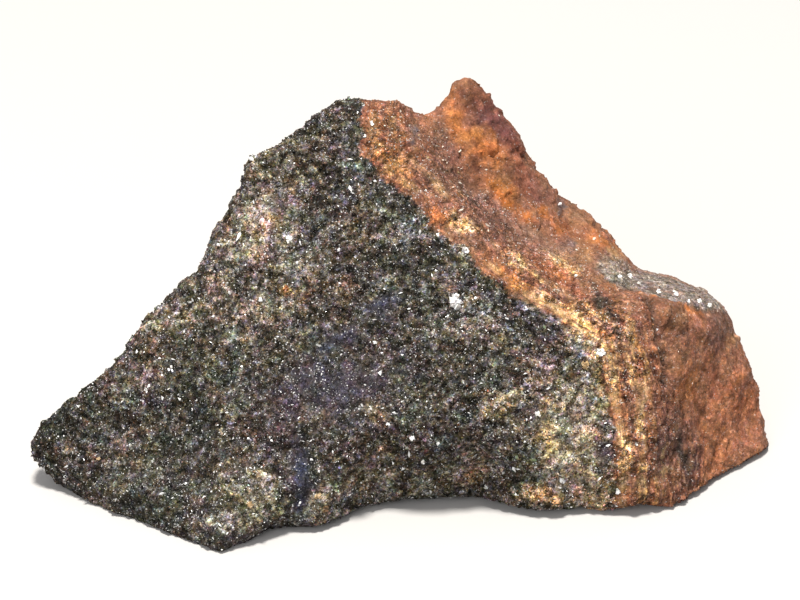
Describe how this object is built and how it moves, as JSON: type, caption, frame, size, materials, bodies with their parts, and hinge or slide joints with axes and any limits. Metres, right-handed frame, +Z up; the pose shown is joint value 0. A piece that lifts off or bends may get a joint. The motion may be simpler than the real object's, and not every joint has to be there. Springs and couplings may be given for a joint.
{
  "type": "mineralized hornfels hand specimen",
  "caption": "Rough wedge of dark, grainy hornfels with sparkling mineral grains, a rusty orange and brown weathered rind on its upper right side and end, and a notched summit.",
  "frame": {"origin": "middle of the footprint's bounding box, on the resting plane", "axes": "+X along the stone towards its rusty end, +Y from the broad broken face to the back, +Z up"},
  "size_m": [0.0878, 0.0438, 0.0435],
  "materials": {
    "rock": "rough, grainy, with small glinting grains and a rusty rind"
  },
  "bodies": {
    "root": {"hornfels": "rock"}
  },
  "joints": []
}
